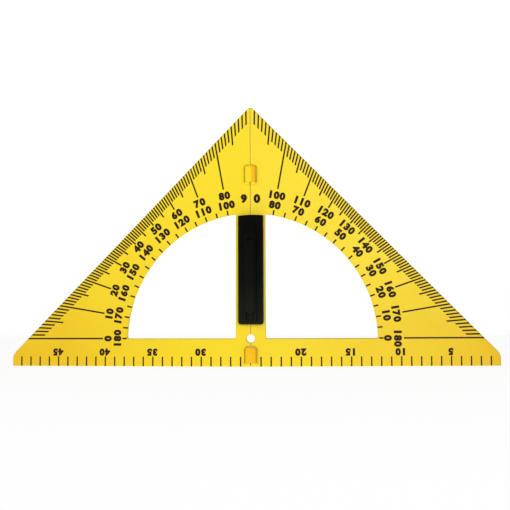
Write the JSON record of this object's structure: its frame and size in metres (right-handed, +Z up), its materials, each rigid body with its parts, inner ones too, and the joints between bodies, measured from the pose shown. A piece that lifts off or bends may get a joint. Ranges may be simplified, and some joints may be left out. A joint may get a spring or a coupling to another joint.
{
  "type": "folding drawing set square",
  "caption": "Large 45-degree triangle with a protractor window and a base rule, folding back along its centre line, with a handle and sliding lock over the seam.",
  "frame": {"origin": "centre of the footprint on the surface that the two base edges stand on", "axes": "+X along the base to the right, -Y the way the printed front faces, +Z up to the right-angled tip"},
  "size_m": [0.4976, 0.0416, 0.26],
  "materials": {
    "yellow_plastic": "moulded, semi-gloss",
    "amber_plastic": "moulded, semi-gloss",
    "black_plastic": "fine moulded texture",
    "print_ink": "screen printed",
    "steel": "bright wire and zinc plate"
  },
  "bodies": {
    "left_side": {"left_leaf": "yellow_plastic", "upper_left_pin": "steel", "lower_left_pin": "steel", "handle_shell": "black_plastic", "slide_guide": "black_plastic", "lock_spring": "steel", "handle_screw_1": "steel", "handle_screw_2": "steel", "handle_screw_3": "steel"},
    "hinge_links": {"upper_hinge_link": "amber_plastic", "lower_hinge_link": "amber_plastic"},
    "right_side": {"right_leaf": "yellow_plastic", "upper_right_pin": "steel", "lower_right_pin": "steel"},
    "lock": {"lock_slide": "black_plastic"}
  },
  "joints": [
    {"name": "left_hinge", "type": "hinge", "parent": "left_side", "child": "hinge_links", "pos_m": [-0.0034, -0.00685, 0.1], "axis": [0, 0, 1], "range_deg": [-6, 84]},
    {"name": "right_hinge", "type": "hinge", "parent": "hinge_links", "child": "right_side", "pos_m": [0.0034, -0.00685, 0.1], "axis": [0, 0, 1], "range_deg": [-6, 84]},
    {"name": "lock_travel", "type": "slide", "parent": "left_side", "child": "lock", "axis": [0, 0, -1], "range_m": [0, 0.008]}
  ]
}
